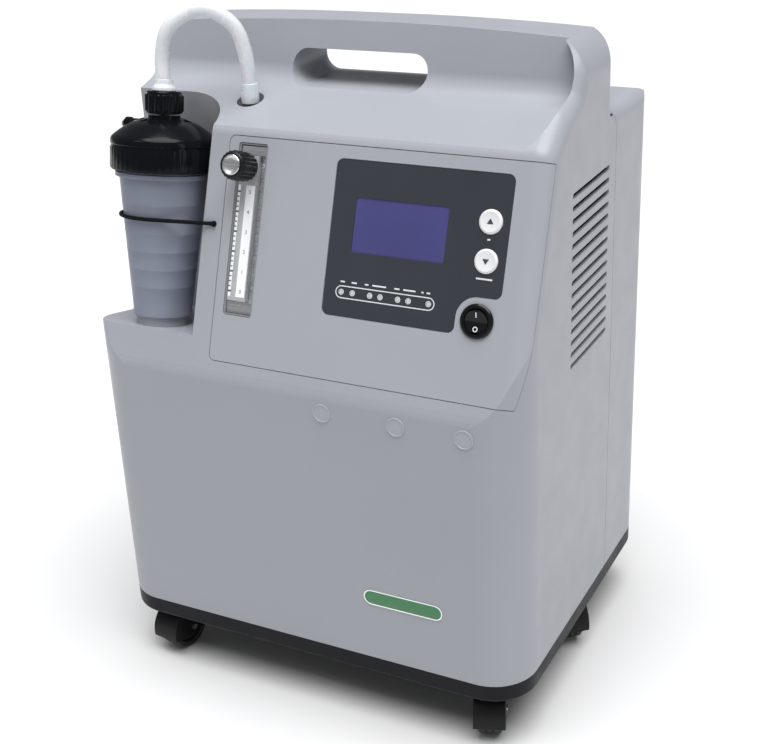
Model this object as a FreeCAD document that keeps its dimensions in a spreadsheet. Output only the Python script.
import FreeCAD, Part
import math
import os

import Sketcher
from FreeCAD import Placement, Rotation, Vector

# Oxygen concentrator on four casters.  +Z is up, the front faces -Y, +X is the right-hand side seen
# from the front.  The origin is on the floor, under the middle of the casing.  Millimetres, degrees.

DIMENSIONS = {
    # casing
    "width": 365.0,
    "front_y": -147.4,
    "rear_y": 147.4,
    "body_z": 60.0,
    "bend_z": 280.0,
    "slope_angle": 19.87,
    "slope_length": 186.0,
    "part_y": 48.0,
    "deck_z": 456.0,
    "hood_z": 521.0,
    "hood_front_y": -2.0,
    "hood_rear_y": 41.0,
    "wall": 3.0,
    "corner_radius": 36.0,
    "slope_corner_radius": 14.0,
    "hood_corner_radius": 36.0,
    "hood_crown_radius": 2600.0,
    "rear_corner_radius": 36.0,
    "rear_top_radius": 36.0,
    "seam": 0.5,
    "tray_z": 45.0,
    # dished face and carrying slot
    "dish_y": -15.0,
    "dish_z": 476.0,
    "dish_reach": 175.0,
    "slot_width": 114.0,
    "slot_low_z": 474.0,
    "slot_height": 26.0,
    # bottle recess
    "recess_x": -86.7,
    "recess_y": -41.0,
    "recess_z": 307.0,
    "recess_radius": 46.0,
    # humidifier bottle
    "bottle_x": -133.0,
    "bottle_y": -110.5,
    "bottle_z": 308.0,
    "bottle_lean": 11.2,
    "cup_foot_radius": 22.3,
    "cup_mouth_radius": 35.2,
    "cup_height": 122.0,
    "cup_wall": 1.6,
    "lid_radius": 40.4,
    "lid_skirt": 26.0,
    "hub_radius": 14.0,
    "hub_low": 150.0,
    "hub_high": 172.0,
    # elastic cord round the bottle
    "strap_height": 78.0,
    "strap_radius": 1.5,
    # hose and outlet
    "hose_radius": 5.6,
    "hose_bore_radius": 3.75,
    "outlet_x": -76.5,
    "outlet_y": -46.0,
    # control panel, in the slope's own frame: across X, up the slope S
    "panel_left": -70.4,
    "panel_low": 12.0,
    "panel_high": 181.0,
    "label_left": 21.5,
    "label_right": 157.5,
    "label_low": 59.5,
    "label_high": 171.0,
    "screen_left": 39.5,
    "screen_right": 112.0,
    "screen_low": 106.0,
    "screen_high": 145.0,
    "button_x": 143.4,
    "button_high": 138.2,
    "button_low": 111.3,
    "button_radius": 8.6,
    "button_travel": 1.0,
    "switch_x": 142.1,
    "switch_up": 70.0,
    "switch_radius": 12.2,
    "meter_left": -62.0,
    "meter_right": -37.0,
    "meter_low": 48.0,
    "meter_high": 176.0,
    "meter_depth": 27.0,
    "knob_x": -52.0,
    "knob_up": 158.0,
    "knob_radius": 10.5,
    "tube_x": -55.5,
    # side vents
    "vent_front_y": -46.5,
    "vent_rear_y": 33.5,
    "vent_low_z": 283.0,
    "vent_pitch": 9.3,
    "vent_count": 15,
    "vent_height": 4.2,
    # casters
    "caster_wheel_radius": 20.0,
    "caster_trail": 15.0,
}

doc = FreeCAD.newDocument("oxygen_concentrator")
sheet = doc.addObject("Spreadsheet::Sheet", "dims")
for row, (alias, number) in enumerate(DIMENSIONS.items(), start=1):
    sheet.set(f"A{row}", alias)
    sheet.set(f"B{row}", str(number))
    sheet.setAlias(f"B{row}", alias)
doc.recompute()


class Size:
    """A length or angle: its number, and the spreadsheet expression that gives it."""

    def __init__(self, number, text):
        self.number = number
        self.text = text

    def __add__(self, other):
        return combine(self, "+", other)

    def __radd__(self, other):
        return combine(other, "+", self)

    def __sub__(self, other):
        return combine(self, "-", other)

    def __rsub__(self, other):
        return combine(other, "-", self)

    def __mul__(self, other):
        return combine(self, "*", other)

    def __rmul__(self, other):
        return combine(other, "*", self)

    def __truediv__(self, other):
        return combine(self, "/", other)

    def __neg__(self):
        return combine(0, "-", self)


def as_size(item):
    return item if isinstance(item, Size) else Size(float(item), f"({float(item)})")


def combine(left, sign, right):
    left = as_size(left)
    right = as_size(right)
    numbers = {
        "+": left.number + right.number,
        "-": left.number - right.number,
        "*": left.number * right.number,
        "/": left.number / right.number if right.number else 0.0,
    }
    return Size(numbers[sign], f"({left.text} {sign} {right.text})")


def dim(alias):
    return Size(DIMENSIONS[alias], f"dims.{alias}")


def sine(angle):
    return Size(math.sin(math.radians(angle.number)), f"sin({angle.text} * 1 deg)")


def cosine(angle):
    return Size(math.cos(math.radians(angle.number)), f"cos({angle.text} * 1 deg)")


def bind(item, prop, size):
    item.setExpression(prop, as_size(size).text)


def rounded_prism(label, role, corners, low, high):
    """A body padded from low to high along its plane's normal; corners are (u, v) or (u, v, radius)."""
    body = doc.addObject("PartDesign::Body", label)
    sketch = body.newObject("Sketcher::SketchObject", label + "_outline")
    plane = [item for item in body.Origin.OriginFeatures if item.Role == role][0]
    sketch.AttachmentSupport = [(plane, "")]
    sketch.MapMode = "FlatFace"
    points = [(as_size(corner[0]), as_size(corner[1])) for corner in corners]
    count = len(points)
    for index in range(count):
        start = points[index]
        end = points[(index + 1) % count]
        line = Part.LineSegment(Vector(start[0].number, start[1].number, 0),
                                Vector(end[0].number, end[1].number, 0))
        sketch.addGeometry(line, False)
    for index in range(count):
        sketch.addConstraint(Sketcher.Constraint("Coincident", index, 2, (index + 1) % count, 1))
    for index, (across, along) in enumerate(points):
        for kind, size in (("DistanceX", across), ("DistanceY", along)):
            number = sketch.addConstraint(Sketcher.Constraint(kind, -1, 1, index, 1, size.number))
            sketch.setExpression(f"Constraints[{number}]", size.text)
    low = as_size(low)
    high = as_size(high)
    bind(sketch, "AttachmentOffset.Base.z", -high if role == "XZ_Plane" else low)
    pad = body.newObject("PartDesign::Pad", label + "_pad")
    pad.Profile = sketch
    bind(pad, "Length", high - low)
    doc.recompute()
    radii = {}
    for (across, along), corner in zip(points, corners):
        if len(corner) > 2:
            radius = as_size(corner[2])
            radii.setdefault(radius.text, (radius, []))[1].append((across.number, along.number))
    for radius, places in radii.values():
        def at_corner(edge):
            flat = [flatten(vertex.Point, role) for vertex in edge.Vertexes]
            return len(flat) == 2 and any(
                math.dist(flat[0], place) < 1e-3 and math.dist(flat[1], place) < 1e-3
                for place in places)
        round_edges(body, radius, at_corner)
    return body


def flatten(point, role):
    return {"XY_Plane": (point.x, point.y), "XZ_Plane": (point.x, point.z),
            "YZ_Plane": (point.y, point.z)}[role]


def round_edges(body, radius, wanted):
    tip = body.Tip
    names = [f"Edge{index}" for index, edge in enumerate(tip.Shape.Edges, start=1) if wanted(edge)]
    fillet = body.newObject("PartDesign::Fillet", body.Label + "_round")
    fillet.Base = (tip, names)
    bind(fillet, "Radius", radius)
    body.Tip = fillet
    doc.recompute()
    return fillet


# ---------------------------------------------------------------- plain shapes and booleans

def position(item, x, y, z):
    for axis, size in (("x", x), ("y", y), ("z", z)):
        bind(item, f"Placement.Base.{axis}", size)


def block(label, x, y, z, across, deep, high):
    item = doc.addObject("Part::Box", label)
    position(item, x, y, z)
    for prop, size in (("Length", across), ("Width", deep), ("Height", high)):
        bind(item, prop, size)
    return item


TURNS = {
    "z": Rotation(),
    "x": Rotation(Vector(0, 1, 0), 90),
    "y": Rotation(Vector(1, 0, 0), -90),
}


def rod(label, x, y, z, radius, length, along="z"):
    item = doc.addObject("Part::Cylinder", label)
    item.Placement = Placement(Vector(), TURNS[along])
    position(item, x, y, z)
    bind(item, "Radius", radius)
    bind(item, "Height", length)
    return item


def taper(label, x, y, z, low_radius, high_radius, length, along="z"):
    item = doc.addObject("Part::Cone", label)
    item.Placement = Placement(Vector(), TURNS[along])
    position(item, x, y, z)
    bind(item, "Radius1", low_radius)
    bind(item, "Radius2", high_radius)
    bind(item, "Height", length)
    return item


def ring(label, x, y, z, radius, thickness, along="z"):
    item = doc.addObject("Part::Torus", label)
    item.Placement = Placement(Vector(), TURNS[along])
    position(item, x, y, z)
    bind(item, "Radius1", radius)
    bind(item, "Radius2", thickness)
    return item


def fuse(label, items):
    item = doc.addObject("Part::MultiFuse", label)
    item.Shapes = items
    return item


def common(label, items):
    item = doc.addObject("Part::MultiCommon", label)
    item.Shapes = items
    return item


def cut(label, base, tools):
    item = doc.addObject("Part::Cut", label)
    item.Base = base
    item.Tool = tools[0] if len(tools) == 1 else fuse(label + "_tools", tools)
    return item


def group(label, items):
    """Separate solids that share one node."""
    item = doc.addObject("Part::Compound", label)
    item.Links = items
    return item


def on_slope(item):
    """Puts a piece that is drawn flat, X across, Y up the slope and Z outwards, onto the sloped face."""
    item.Placement = Placement(Vector(), Rotation(Vector(1, 0, 0), 90))
    bind(item, "Placement.Base.y", dim("front_y"))
    bind(item, "Placement.Base.z", dim("bend_z"))
    bind(item, "Placement.Rotation.Angle", 90 - dim("slope_angle"))
    return item


def on_bottle(item):
    """Puts a piece that is drawn about the Z axis onto the leaning axis of the humidifier bottle."""
    item.Placement = Placement(Vector(), Rotation(Vector(-1, 0, 0), 1))
    position(item, dim("bottle_x"), dim("bottle_y"), dim("bottle_z"))
    bind(item, "Placement.Rotation.Angle", dim("bottle_lean"))
    return item


nodes = []


def keep(item):
    nodes.append(item)
    return item


# ---------------------------------------------------------------- casing

width = dim("width")
half = width / 2
wall = dim("wall")
front_y = dim("front_y")
rear_y = dim("rear_y")
body_z = dim("body_z")
slope = dim("slope_angle")
slope_top_y = front_y + dim("slope_length") * sine(slope)
slope_top_z = dim("bend_z") + dim("slope_length") * cosine(slope)


def rounded_sides(body, side_x, radius, end_y):
    """Rounds a side profile's two long edges, up the slope and along the ridge, in front of end_y."""
    def wanted(edge):
        ends = [vertex.Point for vertex in edge.Vertexes]
        on_side = len(ends) == 2 and all(abs(abs(point.x) - side_x.number) < 1e-3 for point in ends)
        if not on_side or abs(ends[0].x - ends[1].x) > 1e-3:
            return False
        underside = abs(ends[0].z - ends[1].z) < 1e-3 and ends[0].z < 100
        return edge.CenterOfMass.y < end_y and not underside

    round_edges(body, radius, wanted)
    return body


def corner_plan(label, shrink):
    """The casing seen from above: the front corners are rounded."""
    corner = dim("corner_radius") - shrink
    return rounded_prism(label, "XY_Plane", [
        (-half + shrink, front_y + shrink, corner), (half - shrink, front_y + shrink, corner),
        (half - shrink, rear_y), (-half + shrink, rear_y)], 0, 600)


def front_hull():
    """The outer form of the front casing: upright front, sloped face, cheeks of the hood, hood top."""
    profile = [
        (front_y, body_z),
        (front_y, dim("bend_z"), 26),
        (slope_top_y, slope_top_z, 16),
        (-56, 476.5, 24),
        (-34, 485.5, 9),
        (-26, 499, 20),
        (dim("hood_front_y") - 6, dim("hood_z"), dim("slope_corner_radius") + 0.5),
        (dim("hood_rear_y"), dim("hood_z"), 8),
        (dim("hood_rear_y") + 1.5, dim("deck_z"), 3),
        (dim("part_y"), dim("deck_z")),
        (dim("part_y"), body_z),
    ]
    prism = rounded_prism("front_profile", "YZ_Plane", profile, -half, half)
    return rounded_sides(prism, half, dim("slope_corner_radius"), 30)


def hood_outline(label, shrink):
    """The casing seen from the front: the hood's upper corners are rounded and its top is crowned."""
    top = dim("hood_z") - shrink
    radius = dim("hood_corner_radius") - shrink
    corners = [(-half + shrink, 0), (half - shrink, 0), (half - shrink, top, radius),
               (-half + shrink, top, radius)]
    outline = rounded_prism(label + "_outline", "XZ_Plane", corners, front_y - 10, rear_y + 10)
    crown = rod(label + "_crown", 0, front_y - 20, top - dim("hood_crown_radius"),
                dim("hood_crown_radius"), rear_y - front_y + 40, "y")
    return common(label, [outline, crown])


def recess_form(label, grow):
    """The bottle recess: a rounded corner column, open to the front and the left, with a tilted floor."""
    left = -half - 20
    plan = rounded_prism(label + "_plan", "XY_Plane", [
        (left, front_y - 20), (dim("recess_x") + grow, front_y - 20),
        (dim("recess_x") + grow, dim("recess_y") + grow, dim("recess_radius") + grow),
        (left, dim("recess_y") + grow)], 200, 600)
    lean = sine(dim("bottle_lean")) / cosine(dim("bottle_lean"))
    side = rounded_prism(label + "_side", "YZ_Plane", [
        (front_y - 20, dim("recess_z") - grow + 30 * lean),
        (20, dim("recess_z") - grow - (30 - front_y) * lean),
        (20, 600), (front_y - 20, 600)], left - 5, dim("recess_x") + grow + 5)
    return common(label, [plan, side])


def dish_form():
    """What is hollowed out of the hood's front: a shallow run, then a steep face up to the top ridge."""
    rise = (dim("dish_z") - slope_top_z) / (dim("dish_y") - slope_top_y)
    low_y = slope_top_y - 14
    wedge = rounded_prism("dish_wedge", "YZ_Plane", [
        (low_y, slope_top_z - 14 * rise + 0.3), (dim("dish_y"), dim("dish_z"), 24),
        (dim("hood_front_y"), dim("hood_z") + 1), (dim("hood_front_y"), 560),
        (low_y, 560)], -dim("dish_reach") - 30, dim("dish_reach"))
    outline = rounded_prism("dish_outline", "XZ_Plane", [
        (-dim("dish_reach") - 30, 446), (dim("dish_reach"), 446, 42),
        (dim("dish_reach"), dim("hood_z") + 1, 30), (-dim("dish_reach") - 30, dim("hood_z") + 1)],
        -120, 20)
    return common("dish_form", [wedge, outline])


def carrying_slot(label, grow, low_y, high_y):
    middle = dim("slot_width") / 2
    radius = dim("slot_height") / 2 - 0.5 + grow
    return rounded_prism(label, "XZ_Plane", [
        (-middle - grow, dim("slot_low_z") - grow, radius),
        (middle + grow, dim("slot_low_z") - grow, radius),
        (middle + grow, dim("slot_low_z") + dim("slot_height") + grow, radius),
        (-middle - grow, dim("slot_low_z") + dim("slot_height") + grow, radius)], low_y, high_y)


def inner_form():
    """The space inside the front casing: below the dished face, with the hood's own space on top."""
    slant = wall / cosine(slope)
    main = rounded_prism("inner_profile", "YZ_Plane", [
        (front_y + wall, body_z - 5),
        (front_y + wall, dim("bend_z") + 0.5, 23),
        (slope_top_y + slant + 1.2, slope_top_z - 2.6),
        (dim("part_y") + 5, dim("deck_z") - wall - 1),
        (dim("part_y") + 5, body_z - 5),
    ], -half + wall, half - wall)
    main = rounded_sides(main, half - wall, dim("slope_corner_radius") - wall, -80)
    top = rounded_prism("inner_top", "YZ_Plane", [
        (dim("dish_y") - 20, dim("dish_z") - wall - 8),
        (dim("dish_y") + 3, dim("dish_z") - wall - 1),
        (dim("hood_front_y") + 3, dim("hood_z") - wall - 4, 3),
        (dim("hood_rear_y") - wall, dim("hood_z") - wall - 4, 3),
        (dim("hood_rear_y") - wall + 1.5, dim("deck_z") - wall - 5),
        (dim("dish_y") - 20, dim("deck_z") - wall - 5),
    ], -half + wall, half - wall)
    space = common("inner_space", [fuse("inner_both", [main, top]), hood_outline("inner_hood", wall),
                                   corner_plan("inner_plan", wall)])
    return cut("inner_form", space, [recess_form("recess_back", wall)])


def vent_slots(label, x, thick):
    """A column of horizontal slots with round ends, cut through a side wall."""
    slots = []
    radius = dim("vent_height") / 2
    for index in range(int(DIMENSIONS["vent_count"])):
        low_z = dim("vent_low_z") + dim("vent_pitch") * index
        slots.append(rounded_prism(f"{label}_{index}", "YZ_Plane", [
            (dim("vent_front_y"), low_z, radius - 0.1),
            (dim("vent_rear_y"), low_z, radius - 0.1),
            (dim("vent_rear_y"), low_z + dim("vent_height"), radius - 0.1),
            (dim("vent_front_y"), low_z + dim("vent_height"), radius - 0.1)], x, x + thick))
    return slots


def slope_rectangle(label, left, right, low, high, back, front, radius=None):
    corners = [(left, low), (right, low), (right, high), (left, high)]
    if radius is not None:
        corners = [corner + (radius,) for corner in corners]
    return rounded_prism(label, "XY_Plane", corners, back, front)


outer = common("outer_form", [front_hull(), hood_outline("outer_hood", 0),
                              corner_plan("outer_plan", as_size(0))])
recess = recess_form("recess_form", as_size(0))
scooped = cut("scooped_form", outer, [recess, dish_form()])
inner = inner_form()
hollow = cut("hollow_form", scooped, [inner])
sleeve = common("handle_sleeve", [carrying_slot("handle_sleeve_block", as_size(3), -40, 60), scooped])
panel_zone = on_slope(slope_rectangle("panel_zone", dim("panel_left"), half + 20, dim("panel_low"),
                                      dim("panel_high"), -9, 30, 5))
outlet_z = dim("dish_z") - (dim("dish_y") - dim("outlet_y")) * 0.3035


def boss(label, form):
    """A thickening inside the casing, trimmed to its outer form."""
    return common(label, [form, scooped])


seat = on_bottle(group("bottle_seat", [
    rod("bottle_seat_disc", 0, 0, -14, dim("cup_foot_radius") - 2, 13.7)]))
outlet_boss = boss("outlet_boss", rod("outlet_boss_block", dim("outlet_x"), dim("outlet_y"),
                                      outlet_z - 12, 13.5, 20))
plug_xs = (28, 88, 141)
plug_z = body_z + 206
deck_outline = rounded_prism("deck_outline", "XZ_Plane", [
    (-half, 0), (half, 0), (half, dim("deck_z"), 14), (-half, dim("deck_z"), 14)],
    dim("hood_rear_y") - 20, rear_y + 5)
deck_trim = cut("deck_trim", block("deck_trim_block", -half - 5, dim("hood_rear_y") + 2.4,
                                   dim("deck_z") - 32, width + 10, 20, 80), [deck_outline])
front_body = fuse("front_body", [hollow, sleeve, seat, outlet_boss])
plug_holes = [rod(f"plug_hole_{x}", x, front_y - 5, plug_z, 6, 20, "y") for x in plug_xs]
keep(cut("front_shell", front_body, [
    panel_zone,
    carrying_slot("handle_opening", as_size(0), -60, 80),
    deck_trim,
    rod("outlet_counterbore", dim("outlet_x"), dim("outlet_y"), outlet_z - 6, 10.5, 40),
    rod("outlet_hole", dim("outlet_x"), dim("outlet_y"), outlet_z - 20, 4.2, 20),
    *plug_holes,
    *vent_slots("side_vent", half - 6, 12),
]))


def rear_shell():
    """The rear casing: deck, rear wall and sides, with the filter door's and the inlet's openings."""
    def form(label, shrink, start):
        side = rounded_prism(label + "_side", "YZ_Plane", [
            (start, body_z - 2 * shrink), (start, dim("deck_z") - shrink),
            (rear_y - shrink, dim("deck_z") - shrink, dim("rear_top_radius") - shrink),
            (rear_y - shrink, body_z - 2 * shrink)], -half + shrink, half - shrink)
        corner = dim("rear_corner_radius") - shrink
        plan = rounded_prism(label + "_plan", "XY_Plane", [
            (-half + shrink, 0), (half - shrink, 0), (half - shrink, rear_y - shrink, corner),
            (-half + shrink, rear_y - shrink, corner)], 0, 600)
        edge = 14 - shrink
        front = rounded_prism(label + "_front", "XZ_Plane", [
            (-half + shrink, 0), (half - shrink, 0), (half - shrink, dim("deck_z") - shrink, edge),
            (-half + shrink, dim("deck_z") - shrink, edge)], 0, rear_y + 5)
        return common(label, [side, plan, front])

    skin = cut("rear_skin", form("rear_form", as_size(0), dim("part_y") + dim("seam")),
               [form("rear_space", wall, dim("part_y") - 5)])
    frame = block("filter_frame_block", 57, rear_y - 15, 297, 106, 15 - wall, 106)
    frame = cut("filter_frame", frame, [block("filter_frame_hole", 60, rear_y - 20, 300, 100, 30, 100)])
    openings = [
        block("filter_opening", 60, rear_y - 10, 300, 100, 20, 100),
        block("inlet_opening", -134, rear_y - 10, 90, 28, 20, 20),
        rod("breaker_opening", -85, rear_y - 10, 100, 8.2, 20, "y"),
    ]
    for index in range(9):
        openings.append(rounded_prism(f"exhaust_{index}", "XZ_Plane", [
            (-60, 110 + 9 * index, 1.9), (60, 110 + 9 * index, 1.9),
            (60, 114 + 9 * index, 1.9), (-60, 114 + 9 * index, 1.9)], rear_y - 10, rear_y + 10))
    for number, (x, z) in enumerate(SCREW_PLACES):
        openings.append(rod(f"screw_hole_{number}", x, rear_y - 10, z, 3.4, 20, "y"))
    return cut("rear_shell", fuse("rear_body", [skin, frame]), openings)


SCREW_PLACES = ((-140, 80), (140, 80), (-140, 411), (140, 411), (-140, 250), (20, 411))
keep(rear_shell())
keep(group("casing_screws", [
    fuse(f"casing_screw_{number}", [
        rod(f"screw_head_{number}", x, rear_y - 1.2, z, 3.2, 2, "y"),
        rod(f"screw_shank_{number}", x, rear_y - 9, z, 1.9, 8, "y")])
    for number, (x, z) in enumerate(SCREW_PLACES)]))
keep(group("cover_plugs", [
    fuse(f"cover_plug_{x}", [
        rod(f"plug_head_{x}", x, front_y - 0.8, plug_z, 7.6, 0.8, "y"),
        rod(f"plug_stem_{x}", x, front_y, plug_z, 5.9, 5, "y")])
    for x in plug_xs]))


def outline_block(label, low, high, shrink, radius):
    return rounded_prism(label, "XY_Plane", [
        (-half + shrink, front_y + shrink, radius), (half - shrink, front_y + shrink, radius),
        (half - shrink, rear_y - shrink, radius), (-half + shrink, rear_y - shrink, radius)], low, high)


CASTERS = {
    "front_left": (-140, -106, -8),
    "front_right": (142, -106, 20),
    "rear_left": (-147, 32, -30),
    "rear_right": (147, 32, 43),
}


def base_tray():
    """The black base: a shallow tray whose band shows below the casing, with a boss at each caster."""
    tray_z = dim("tray_z")
    band = outline_block("tray_band", tray_z, body_z - 0.4, as_size(0), dim("corner_radius"))

    def is_lower_rim(edge):
        return all(abs(vertex.Point.z - tray_z.number) < 1e-3 for vertex in edge.Vertexes)

    round_edges(band, as_size(3), is_lower_rim)
    lip = cut("tray_lip", outline_block("tray_lip_form", tray_z + 4, body_z + 7, wall + 0.6,
                                        dim("corner_radius") - wall - 0.6),
              [outline_block("tray_lip_space", tray_z, body_z + 20, wall + 3,
                             dim("corner_radius") - wall - 3)])
    space = outline_block("tray_space", tray_z + 4, body_z + 20, as_size(4), dim("corner_radius") - 4)
    bosses = [rod(f"caster_boss_{name}", x, y, tray_z + 1, 12, 13) for name, (x, y, _) in CASTERS.items()]
    holes = [rod(f"caster_hole_{name}", x, y, tray_z - 5, 5.05, 30) for name, (x, y, _) in CASTERS.items()]
    shallow = cut("tray_shallow", band, [space])
    return cut("base_tray", fuse("tray_body", [shallow, lip, *bosses]), holes)


keep(base_tray())


# ---------------------------------------------------------------- control panel

def panel_hole(label, left, right, low, high, radius):
    return on_slope(slope_rectangle(label, left, right, low, high, -20, 20, radius))


def slope_rod(label, x, up, out, radius, length):
    return on_slope(group(label, [rod(label + "_rod", x, up, out, radius, length)]))


LED_XS = (35.5, 44.5, 58.5, 66.7, 80.6, 88.8, 104.4)
led_up = 77
button_ups = {"up": dim("button_high"), "down": dim("button_low")}
screen_edges = (dim("screen_left"), dim("screen_right"), dim("screen_low"), dim("screen_high"))
meter_edges = (dim("meter_left"), dim("meter_right"), dim("meter_low"), dim("meter_high"))
panel_edge = dim("seam")


def label_outline(label, grow, back, front):
    """The overlay's outline: rounded corners, and a corner left out round the switch."""
    reach = dim("switch_radius") + 4.5
    notch_x = dim("switch_x") - reach + grow
    notch_up = dim("switch_up") + reach - grow
    left = dim("label_left") - grow
    right = dim("label_right") + grow
    low = dim("label_low") - grow
    high = dim("label_high") + grow
    corner = as_size(5) + grow
    return rounded_prism(label, "XY_Plane", [
        (left, low, corner), (notch_x, low, corner), (notch_x, notch_up, reach - 1 - grow),
        (right, notch_up, corner), (right, high, corner), (left, high, corner)], back, front)


def control_panel():
    zone = on_slope(slope_rectangle("panel_form", dim("panel_left") + panel_edge, half + 20,
                                    dim("panel_low") + panel_edge, dim("panel_high") - panel_edge,
                                    -9 + panel_edge, 30, 5 - panel_edge))
    blank = common("panel_blank", [hollow, zone])
    left, right, low, high = screen_edges
    holes = [
        on_slope(label_outline("label_pocket", 0.4, -0.8, 8)),
        panel_hole("screen_hole", left - 1.5, right + 1.5, low - 1.5, high + 1.5, 1),
        panel_hole("meter_hole", *meter_edges, 2),
        slope_rod("switch_hole", dim("switch_x"), dim("switch_up"), -20, 10.6, 40),
    ]
    for name, up in button_ups.items():
        holes.append(slope_rod(f"button_hole_{name}", dim("button_x"), up, -20,
                               dim("button_radius") + 0.3, 40))
    for x in LED_XS:
        holes.append(slope_rod(f"led_hole_{x}".replace(".", "_"), x, led_up, -20, 1.5, 40))
    return cut("control_panel", blank, holes)


keep(control_panel())


def panel_label():
    """The dark overlay, open over the screen, keys and lamps."""
    sheet_form = label_outline("label_sheet", 0, -0.8, -0.3)
    left, right, low, high = screen_edges
    holes = [slope_rectangle("label_screen", left, right, low, high, -5, 5, 1.5)]
    for name, up in button_ups.items():
        holes.append(rod(f"label_button_{name}", dim("button_x"), up, -5, dim("button_radius") + 0.4, 10))
    for x in LED_XS:
        holes.append(rod(f"label_led_{x}".replace(".", "_"), x, led_up, -5, 1.5, 10))
    return on_slope(cut("panel_label", sheet_form, holes))


keep(panel_label())
left, right, low, high = screen_edges
keep(on_slope(slope_rectangle("lcd_window", left - 1.3, right + 1.3, low - 1.3, high + 1.3, -2.6, -0.9, 1)))
keep(on_slope(fuse("lcd_module", [
    block("lcd_glass", left - 1.2, low - 1.2, -8, right - left + 2.4, high - low + 2.4, 5.2),
    block("lcd_board", left - 10, low - 8, -9.8, right - left + 20, high - low + 16, 1.8)])))

for name, up in button_ups.items():
    cap = rod(f"button_{name}_cap", dim("button_x"), up, -6.2, dim("button_radius"), 6.8)
    crown = taper(f"button_{name}_crown", dim("button_x"), up, 0.6, dim("button_radius"),
                  dim("button_radius") - 1.2, 0.7)
    flange = rod(f"button_{name}_flange", dim("button_x"), up, -6.2, dim("button_radius") + 1.6, 1.3)
    keep(on_slope(fuse(f"button_{name}", [cap, crown, flange])))

keep(on_slope(fuse("key_board", [
    block("key_board_plate", 122, 92, -13, 40, 66, 1.6),
    *[block(f"key_switch_{name}", dim("button_x") - 3, up - 3, -11.4, 6, 6, 3.9)
      for name, up in button_ups.items()]])))
keep(on_slope(group("status_leds", [
    rod(f"led_{index}", x, led_up, -6, 1.35, 5.6) for index, x in enumerate(LED_XS)])))


def switch_bezel():
    pieces = [
        rod("switch_flange", 0, 0, 0.1, dim("switch_radius"), 1.3),
        taper("switch_flange_top", 0, 0, 1.4, dim("switch_radius"), dim("switch_radius") - 1.2, 0.8),
        rod("switch_barrel", 0, 0, -22, 10.3, 22.2),
    ]
    well = rod("switch_well", 0, 0, -12, 9.1, 30)
    item = cut("switch_bezel", fuse("switch_body", pieces), [well])
    return at_slope_point(item, dim("switch_x"), dim("switch_up"), as_size(0), 90 - slope)


def at_slope_point(item, x, up, out, angle):
    """Puts a piece that is drawn about its own origin at a point of the sloped face."""
    item.Placement = Placement(Vector(), Rotation(Vector(1, 0, 0), 90))
    bind(item, "Placement.Base.x", x)
    bind(item, "Placement.Base.y", front_y + up * sine(slope) - out * cosine(slope))
    bind(item, "Placement.Base.z", dim("bend_z") + up * cosine(slope) + out * sine(slope))
    bind(item, "Placement.Rotation.Angle", angle)
    return item


keep(switch_bezel())
rocker = common("switch_rocker", [
    rod("rocker_post", 0, 0, -6, 8.4, 12),
    rod("rocker_roll", -12, 0, 0, 8.4, 24, "x"),
    rounded_prism("rocker_section", "YZ_Plane", [
        (-9, -5), (9, -5), (9, 4.2), (0, 2.6), (-9, 4.2)], -12, 12)])
keep(at_slope_point(rocker, dim("switch_x"), dim("switch_up"), as_size(-1.0),
                    90 - slope + 8))


# ---------------------------------------------------------------- flowmeter

def flowmeter():
    left, right, low, high = meter_edges
    depth = dim("meter_depth")
    gap = 0.3
    housing = cut("flowmeter_housing", block("housing_block", left + gap, low + gap, -depth,
                                        right - left - 2 * gap, high - low - 2 * gap, depth - 0.6),
                  [block("housing_space", left + gap + 1.2, low + gap + 1.2, -depth + 1.2,
                         right - left - 2 * gap - 2.4, high - low - 2 * gap - 2.4, depth + 5)])
    keep(on_slope(housing))

    tube_x = dim("tube_x")
    bore = rod("meter_bore", tube_x, 60, -7, 3.3, 104, "y")
    stem_hole = rod("meter_stem_hole", dim("knob_x"), dim("knob_up"), -12, 3.06, 20)
    body = block("meter_body", left + 2, 59, -20, 15.5, 108, 19)
    keep(on_slope(cut("flowmeter_block", body, [bore, stem_hole])))

    screw_x = right - 4.8
    keep(on_slope(fuse("flowmeter_fittings", [
        block("meter_foot", left + 1.8, 50, -19, right - left - 3.6, 8.8, 17),
        block("meter_head", left + 1.8, 167.2, -19, right - left - 3.6, 6.6, 17),
        block("meter_rail", right - 7.0, 58, -19, 4.9, 110, 13),
        *[rod(f"meter_screw_{up}", screw_x, up, -8, 2.0, 2.4) for up in (66, 152, 163)]])))
    keep(on_slope(fuse("flowmeter_float", [
        taper("float_low", tube_x, 71, -7, 1.4, 2.9, 3, "y"),
        rod("float_high", tube_x, 74, -7, 2.9, 3, "y")])))
    keep(on_slope(fuse("flowmeter_stem", [
        rod("stem_rod", dim("knob_x"), dim("knob_up"), -11, 3.0, 22),
        rod("stem_collar", dim("knob_x"), dim("knob_up"), -0.7, 5.0, 3.4)])))
    grips = [rod(f"knob_grip_{index}",
                 dim("knob_x") + (dim("knob_radius") - 0.4) * math.cos(math.radians(20 * index)),
                 dim("knob_up") + (dim("knob_radius") - 0.4) * math.sin(math.radians(20 * index)),
                 4, 0.8, 17) for index in range(18)]
    knob = fuse("knob_form", [
        rod("knob_barrel", dim("knob_x"), dim("knob_up"), 3, dim("knob_radius"), 19),
        taper("knob_shoulder", dim("knob_x"), dim("knob_up"), 22, dim("knob_radius"),
              dim("knob_radius") - 1.5, 2.2), *grips])
    keep(on_slope(cut("flowmeter_knob", knob, [
        rod("knob_socket", dim("knob_x"), dim("knob_up"), 0, 3.0, 11)])))
    keep(on_slope(group("knob_cap", [
        rod("knob_cap_disc", dim("knob_x"), dim("knob_up"), 24.2, dim("knob_radius") - 2.2, 0.7)])))


flowmeter()


# ---------------------------------------------------------------- humidifier bottle

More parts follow.
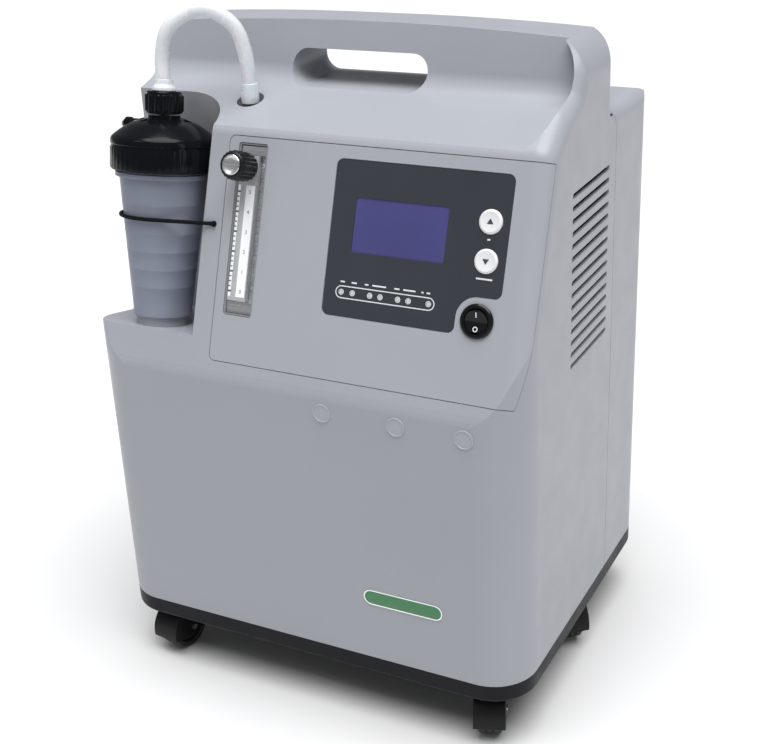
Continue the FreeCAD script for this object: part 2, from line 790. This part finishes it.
def humidifier():
    cup_height = dim("cup_height")
    foot = dim("cup_foot_radius")
    mouth = dim("cup_mouth_radius")
    cup_wall = dim("cup_wall")
    keep(on_bottle(cut("humidifier_cup", fuse("cup_form", [
        taper("cup_skin", 0, 0, 0, foot, mouth, cup_height),
        rod("cup_foot_rim", 0, 0, 0, foot + 1.0, 3.5),
        rod("cup_bead", 0, 0, cup_height - 14, mouth + 1.6, 3)]), [
        taper("cup_space", 0, 0, 2.5, foot - cup_wall, mouth - cup_wall, cup_height)])))

    lid_low = cup_height - 9
    lid_high = lid_low + dim("lid_skirt")
    lid_radius = dim("lid_radius")
    ribs = []
    for index in range(24):
        turn = math.radians(15 * index)
        ribs.append(rod(f"lid_rib_{index}", (lid_radius - 0.6) * math.cos(turn),
                        (lid_radius - 0.6) * math.sin(turn), lid_low + 2, 1.3, dim("lid_skirt") - 6))
    outside = fuse("lid_outside", [
        rod("lid_skirt_form", 0, 0, lid_low, lid_radius, dim("lid_skirt") - 3),
        taper("lid_edge", 0, 0, lid_high - 3, lid_radius, lid_radius - 3, 3),
        taper("lid_dome", 0, 0, lid_high, lid_radius - 3, dim("hub_radius") + 3, 11),
        rod("lid_neck", 0, 0, lid_high + 11, dim("hub_radius") - 2, 4),
        rod("lid_spout", -38, 0, lid_high + 6, 4, 20, "x"),
        *ribs])
    inside = fuse("lid_inside", [
        rod("lid_thread_space", 0, 0, lid_low - 5, mouth + 0.6, dim("lid_skirt") - 1),
        rod("lid_passage", 0, 0, lid_high - 10, 4.05, 40),
        rod("lid_spout_bore", -45, 0, lid_high + 6, 2, 20, "x")])
    keep(on_bottle(cut("humidifier_lid", outside, [inside])))

    hub_low = dim("hub_low")
    hub_high = dim("hub_high")
    keep(on_bottle(cut("hub_nut", fuse("hub_form", [
        rod("hub_barrel", 0, 0, hub_low + 5, dim("hub_radius"), hub_high - hub_low - 7),
        taper("hub_top", 0, 0, hub_high - 2, dim("hub_radius"), dim("hub_radius") - 2, 2),
        *[block(f"hub_rib_{index}", dim("hub_radius") * math.cos(math.radians(30 * index)) - 1,
                dim("hub_radius") * math.sin(math.radians(30 * index)) - 1, hub_low + 6, 2, 2,
                hub_high - hub_low - 9) for index in range(12)]]), [
        rod("hub_bore", 0, 0, hub_low, 3.7, 40)])))
    keep(on_bottle(fuse("dip_tube", [
        rod("dip_pipe", 0, 0, 12, 3.2, hub_high - 13),
        rod("dip_diffuser", 0, 0, 5, 6.5, 9)])))


humidifier()


def rounded_path(points, radii):
    """A wire of straight runs joined by tangent arcs, one radius for each inner point."""
    edges = []
    start = points[0]
    for before, corner, after, radius in zip(points, points[1:], points[2:], radii):
        inward = (before - corner).normalize()
        outward = (after - corner).normalize()
        half_angle = inward.getAngle(outward) / 2
        reach = radius / math.tan(half_angle)
        first = corner + inward * reach
        last = corner + outward * reach
        bisector = (inward + outward).normalize()
        middle = corner + bisector * (radius / math.sin(half_angle) - radius)
        edges.append(Part.LineSegment(start, first).toShape())
        edges.append(Part.Arc(first, middle, last).toShape())
        start = last
    edges.append(Part.LineSegment(start, points[-1]).toShape())
    return Part.Wire(edges)


def swept(path, radius):
    start = path.Edges[0].valueAt(path.Edges[0].FirstParameter)
    direction = path.Edges[0].tangentAt(path.Edges[0].FirstParameter)
    section = Part.Wire([Part.Circle(start, direction, radius).toShape()])
    return path.makePipeShell([section], True, True)


def shape_node(label, shape):
    item = doc.addObject("Part::Feature", label)
    item.Shape = shape
    return keep(item)


def bottle_point(across, back, up):
    """A point in the bottle's own frame: +X, towards the back square to its axis, and along the axis."""
    lean = math.radians(DIMENSIONS["bottle_lean"])
    return Vector(DIMENSIONS["bottle_x"] + across,
                  DIMENSIONS["bottle_y"] + back * math.cos(lean) + up * math.sin(lean),
                  DIMENSIONS["bottle_z"] - back * math.sin(lean) + up * math.cos(lean))


def humidifier_hose():
    """The short bent tube from the bottle's inlet over to the outlet on the casing's shoulder."""
    start = bottle_point(0, 0, DIMENSIONS["hub_high"] + 0.9)
    exit_way = bottle_point(0, 0, 1) - bottle_point(0, 0, 0)
    end = Vector(DIMENSIONS["outlet_x"], DIMENSIONS["outlet_y"], outlet_z.number - 2.4)
    across = Vector(end.x - start.x, end.y - start.y, 0)
    points = [start, start + exit_way * 26 + Vector(-3, 0, 0),
              start + across * 0.09 + Vector(0, 3, 47), start + across * 0.50 + Vector(0, 2, 61.5),
              start + across * 0.90 + Vector(0, 0.5, 46), end + Vector(0, 0, 34), end]
    radii = []
    for before, corner, after in zip(points, points[1:], points[2:]):
        turn = math.pi - (before - corner).getAngle(after - corner)
        shorter = min((before - corner).Length, (after - corner).Length)
        radii.append(0.45 * shorter / math.tan(turn / 2))
    print("hose radii", [round(radius, 1) for radius in radii])
    path = rounded_path(points, radii)
    outside = swept(path, DIMENSIONS["hose_radius"])
    bore_radius = DIMENSIONS["hose_bore_radius"]
    solid = outside.cut(swept(path, bore_radius))
    expected = math.pi * (DIMENSIONS["hose_radius"] ** 2 - bore_radius ** 2) * path.Length
    print("hose length", round(path.Length, 1), "volume", round(solid.Volume), "expected", round(expected),
          "top", round(solid.BoundBox.ZMax, 1))
    shape_node("humidifier_hose", solid)


humidifier_hose()
keep(fuse("outlet_fitting", [
    rod("outlet_flange", dim("outlet_x"), dim("outlet_y"), outlet_z - 5.9, 7, 2.4),
    rod("outlet_stem", dim("outlet_x"), dim("outlet_y"), outlet_z - 22, 4.1, 17),
    rod("outlet_nozzle", dim("outlet_x"), dim("outlet_y"), outlet_z - 5, 3.6, 16)]))


def bottle_strap():
    """The elastic cord that holds the bottle: from the strip by the panel, round the cup, to the rear."""
    up = DIMENSIONS["strap_height"]
    cord = DIMENSIONS["strap_radius"]
    share = up / DIMENSIONS["cup_height"]
    cup_radius = DIMENSIONS["cup_foot_radius"] * (1 - share) + DIMENSIONS["cup_mouth_radius"] * share
    reach = cup_radius + cord + 0.5
    lean = math.radians(DIMENSIONS["bottle_lean"])
    axis_y = DIMENSIONS["bottle_y"] + up * math.sin(lean)
    axis_z = DIMENSIONS["bottle_z"] + up * math.cos(lean)
    pitch = math.tan(math.radians(DIMENSIONS["slope_angle"]))
    anchor_x = DIMENSIONS["panel_left"] - 7.0 - DIMENSIONS["bottle_x"]
    # Where the cord's plane meets the sloped face: solve for the distance towards the back.
    flat_y = DIMENSIONS["front_y"] + (axis_z - DIMENSIONS["bend_z"]) * pitch
    anchor_back = (flat_y - axis_y) / (math.cos(lean) + math.sin(lean) * pitch) - 0.5
    rear_back = (DIMENSIONS["recess_y"] - axis_y) / math.cos(lean) + 1.0
    rear_across = -16.0

    def tangent_angle(across, back, side):
        distance = math.hypot(across, back)
        return math.atan2(back, across) + side * math.acos(reach / distance)

    first = tangent_angle(anchor_x, anchor_back, -1)
    last = tangent_angle(rear_across, rear_back, 1) - 2 * math.pi

    def on_circle(angle):
        return bottle_point(reach * math.cos(angle), reach * math.sin(angle), up)

    start = bottle_point(anchor_x, anchor_back, up)
    end = bottle_point(rear_across, rear_back, up)
    path = Part.Wire([
        Part.LineSegment(start, on_circle(first)).toShape(),
        Part.Arc(on_circle(first), on_circle((first + last) / 2), on_circle(last)).toShape(),
        Part.LineSegment(on_circle(last), end).toShape()])
    print("strap length", round(path.Length, 1))
    doc.recompute()
    shape_node("bottle_strap", swept(path, cord).cut(doc.getObject("front_shell").Shape))


bottle_strap()


# ---------------------------------------------------------------- casters

def caster(name, x, y, heading):
    """A hooded swivel caster: fork with its stem, wheel, and axle; drawn about its own swivel axis."""
    trail = dim("caster_trail")
    wheel_radius = dim("caster_wheel_radius")
    bore = rod(f"caster_{name}_bore", -20, -trail, wheel_radius, 2.5, 40, "x")
    cover = cut(f"caster_{name}_cover", rod(f"caster_{name}_hood", -12.5, -trail, wheel_radius,
                                            wheel_radius + 3.3, 25, "x"), [
        rod(f"caster_{name}_well", -10, -trail, wheel_radius, wheel_radius + 1.3, 20, "x"),
        block(f"caster_{name}_open", -20, -trail - 40, -10, 40, 80, wheel_radius + 6)])
    arms = [block(f"caster_{name}_arm_{side}", place, -trail - 6, wheel_radius - 6, 2.5, 12, 20)
            for side, place in (("left", -12.5), ("right", 10))]
    fork = cut(f"caster_{name}_fork", fuse(f"caster_{name}_frame", [
        cover, *arms,
        rod(f"caster_{name}_disc", 0, 0, 38, 12, 6.6),
        rod(f"caster_{name}_stem", 0, 0, 38, 5, 20)]), [
        bore, rod(f"caster_{name}_clear", -10, -trail, wheel_radius, wheel_radius + 1.3, 20, "x")])
    tread = cut(f"caster_{name}_tread", rod(f"caster_{name}_disc_wheel", -9, -trail, wheel_radius,
                                            wheel_radius, 18, "x"), [
        rod(f"caster_{name}_dish_left", -10, -trail, wheel_radius, wheel_radius - 5, 4, "x"),
        rod(f"caster_{name}_dish_right", 6, -trail, wheel_radius, wheel_radius - 5, 4, "x")])
    wheel = cut(f"caster_{name}_wheel", fuse(f"caster_{name}_wheel_form", [
        tread, rod(f"caster_{name}_hub", -9.5, -trail, wheel_radius, 6, 19, "x")]), [
        rod(f"caster_{name}_wheel_bore", -20, -trail, wheel_radius, 2.55, 40, "x")])
    axle = group(f"caster_{name}_axle", [
        rod(f"caster_{name}_pin", -13.5, -trail, wheel_radius, 2.5, 27, "x")])
    for item in (fork, wheel, axle):
        item.Placement = Placement(Vector(), Rotation(Vector(0, 0, 1), heading))
        bind(item, "Placement.Base.x", x)
        bind(item, "Placement.Base.y", y)
        keep(item)


for caster_name, (x, y, heading) in CASTERS.items():
    caster(caster_name, x, y, heading)


# ---------------------------------------------------------------- inside the casing

def compressor():
    middle_y = -45
    foot_places = ((-72, -95), (72, -95), (-72, 5), (72, 5))
    keep(group("compressor_mounts", [
        rod(f"rubber_mount_{index}", x, y, dim("tray_z") + 4, 9, 14)
        for index, (x, y) in enumerate(foot_places)]))
    keep(block("compressor_plate", -86, -106, dim("tray_z") + 18, 172, 122, 4))
    keep(fuse("compressor_motor", [
        rod("motor_can", -58, middle_y, 116, 44, 116, "x"),
        block("motor_foot_left", -50, middle_y - 30, dim("tray_z") + 22, 20, 60, 20),
        block("motor_foot_right", 30, middle_y - 30, dim("tray_z") + 22, 20, 60, 20)]))
    heads = []
    for side, low_x in (("left", -92), ("right", 58)):
        heads.append(fuse(f"compressor_end_{side}", [
            block(f"crankcase_{side}", low_x, middle_y - 34, 74, 34, 68, 78),
            rod(f"cylinder_{side}", low_x + 17, middle_y, 150, 16, 14),
            block(f"head_{side}", low_x, middle_y - 30, 162, 34, 60, 10),
            *[block(f"fin_{side}_{index}", low_x + 2, middle_y - 28, 153 + 3 * index, 30, 56, 1.2)
              for index in range(3)]]))
    keep(group("compressor_heads", heads))


def cooling():
    middle_y = -45
    shelf_z = 198
    shelf = block("shelf_plate", -167, -135, shelf_z, 334, 169, 2)
    keep(cut("inner_shelf", shelf, [rod("shelf_hole", 0, middle_y, shelf_z - 5, 56, 20)]))
    low = shelf_z + 2.3
    spokes = [block("fan_spoke_x", -57, middle_y - 2, low, 114, 4, 3),
              block("fan_spoke_y", -2, middle_y - 57, low, 4, 114, 3)]
    frame = cut("fan_ring", block("fan_block", -60, middle_y - 60, low, 120, 120, 25),
                [rod("fan_duct", 0, middle_y, low - 5, 56, 40)])
    keep(cut("fan_frame", fuse("fan_frame_body", [
        frame, *spokes, rod("fan_boss", 0, middle_y, low, 15, 4.5)]), [
        rod("fan_bearing", 0, middle_y, low - 5, 2.05, 20)]))
    blades = []
    for index in range(7):
        blade = block(f"fan_blade_{index}", 0, 0, 0, 38, 2, 20)
        turn = Rotation(Vector(0, 0, 1), 360 * index / 7)
        tilt = Rotation(Vector(1, 0, 0), 52)
        blade.Placement = Placement(Vector(0, 0, 0), turn * tilt)
        offset = turn.multVec(Vector(15, 7, 0))
        position(blade, offset.x, middle_y + offset.y, low + 7)
        blades.append(blade)
    keep(fuse("fan_rotor", [
        rod("fan_hub", 0, middle_y, low + 5.2, 18, 17),
        rod("fan_shaft", 0, middle_y, low + 0.5, 2, 8), *blades]))
    coil_z = 188
    keep(fuse("cooling_coil", [
        ring("coil_outer", 0, middle_y, coil_z, 52, 4), ring("coil_middle", 0, middle_y, coil_z, 41, 4),
        ring("coil_inner", 0, middle_y, coil_z, 30, 4),
        rod("coil_link", 26, middle_y, coil_z, 4, 44, "x")]))


def gas_parts():
    beds = []
    for side, x in (("left", -45), ("right", 45)):
        beds.append(fuse(f"sieve_bed_{side}", [
            rod(f"canister_{side}", x, 95, 60, 35, 296),
            rod(f"canister_foot_{side}", x, 95, dim("tray_z") + 4, 38, 12),
            rod(f"canister_cap_{side}", x, 95, 354, 38, 12)]))
    keep(group("sieve_beds", beds))
    keep(fuse("product_tank", [
        rod("tank_body", -128, 92, 62, 31, 230),
        taper("tank_shoulder", -128, 92, 292, 31, 10, 16),
        rod("tank_foot", -128, 92, dim("tray_z") + 4, 24, 14)]))
    keep(fuse("valve_block", [
        block("manifold", -62, 72, 366.3, 124, 52, 20),
        *[rod(f"solenoid_{index}", x, 98, 386, 12, 28) for index, x in enumerate((-42, 0, 42))]]))
    keep(fuse("intake_muffler", [
        rod("muffler_body", 130, 78, 205, 26, 62), taper("muffler_top", 130, 78, 267, 26, 9, 12),
        rod("muffler_neck", 130, 78, 279, 7, 14), rod("muffler_post", 130, 78, dim("tray_z") + 4, 10, 158)]))


def rear_fittings():
    keep(block("filter_foam", 62, rear_y - 14, 302, 96, 9, 96))
    slots = [block(f"door_slot_{index}", 70, rear_y - 10, 312 + 11 * index, 80, 20, 5)
             for index in range(8)]
    keep(cut("filter_door", fuse("filter_door_form", [
        block("door_plate", 60.4, rear_y - 3.5, 300.4, 99.2, 3.5, 99.2),
        block("door_tab_low", 100, rear_y - 4.4, 300.4, 20, 2, 3),
        block("door_tab_high", 100, rear_y - 4.4, 396.6, 20, 2, 3)]), slots))
    keep(cut("power_inlet", fuse("inlet_form", [
        block("inlet_flange", -145, rear_y, 87, 50, 0.8, 26),
        block("inlet_body", -133.7, rear_y - 24, 90.3, 27.4, 24.2, 19.4)]), [
        block("inlet_socket", -131.5, rear_y - 18, 92.5, 23, 30, 15)]))
    keep(cut("breaker_body", fuse("breaker_form", [
        rod("breaker_barrel", -85, rear_y - 26, 100, 7.9, 26, "y"),
        rod("breaker_ring", -85, rear_y, 100, 10, 0.8, "y")]), [
        rod("breaker_bore", -85, rear_y - 12, 100, 4.3, 20, "y")]))
    keep(rod("breaker_button", -85, rear_y - 8, 100, 4.0, 8.8, "y"))


def electronics():
    keep(fuse("main_board", [
        block("board_plate", 150, -62, 225, 1.8, 92, 150),
        block("relay", 138, -50, 245, 12.2, 22, 30), block("heat_sink", 126, -10, 240, 24.2, 30, 50),
        block("connector", 140, -52, 340, 10.2, 60, 10), rod("capacitor", 130, -35, 310, 9, 20.2, "x")]))
    keep(fuse("power_supply", [
        block("supply_box", 66, -132, 200.3, 84, 60, 50), rod("run_capacitor", -110, -80, 200.3, 20, 62),
        block("supply_strap", -112, -133, 200.3, 180, 8, 3),
        block("capacitor_clip", -114, -133, 200.3, 8, 50, 3)]))


compressor()
cooling()
gas_parts()
rear_fittings()
electronics()


# ---------------------------------------------------------------- checks and files

doc.recompute()
for item in doc.Objects:
    if "Invalid" in item.State or "Error" in item.State:
        raise RuntimeError(f"{item.Label} failed: {item.State}")
os.makedirs("parts", exist_ok=True)
for item in nodes:
    shape = item.Shape
    if shape.isNull() or not shape.isValid() or not shape.Solids:
        raise RuntimeError(f"{item.Label} has no valid solid")
    shape.exportStep(f"parts/{item.Label}.step")
    print(f"{item.Label}: {len(shape.Solids)} solid(s), {shape.Volume / 1000:.1f} cm3")
print(f"{len(nodes)} parts written")
